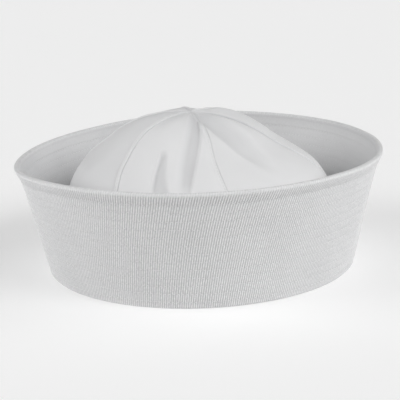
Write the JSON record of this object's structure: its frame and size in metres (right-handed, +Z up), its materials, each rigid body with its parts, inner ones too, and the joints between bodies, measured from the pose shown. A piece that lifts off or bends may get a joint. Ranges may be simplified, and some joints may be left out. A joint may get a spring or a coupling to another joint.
{
  "type": "sailor cap",
  "caption": "White cotton cap with a soft domed crown of sewn gores inside a tall, stiff, flaring turned-up cuff with a rolled rim.",
  "frame": {"origin": "on the surface the cap rests on, under the middle of the rim", "axes": "+Z up from the resting fold to the top of the crown, -Y to the front that the picture shows, +X to its right"},
  "size_m": [0.231, 0.244, 0.0983],
  "materials": {
    "cuff_cloth": "stiff quilted cotton twill, matte white",
    "crown_cloth": "soft plain cotton, matte white",
    "band_cloth": "plain cotton tape, matte white"
  },
  "bodies": {
    "root": {"cuff": "cuff_cloth", "headband": "band_cloth", "crown_gore_1": "crown_cloth", "crown_gore_2": "crown_cloth", "crown_gore_3": "crown_cloth", "crown_gore_4": "crown_cloth", "crown_gore_5": "crown_cloth", "crown_gore_6": "crown_cloth"}
  },
  "joints": []
}
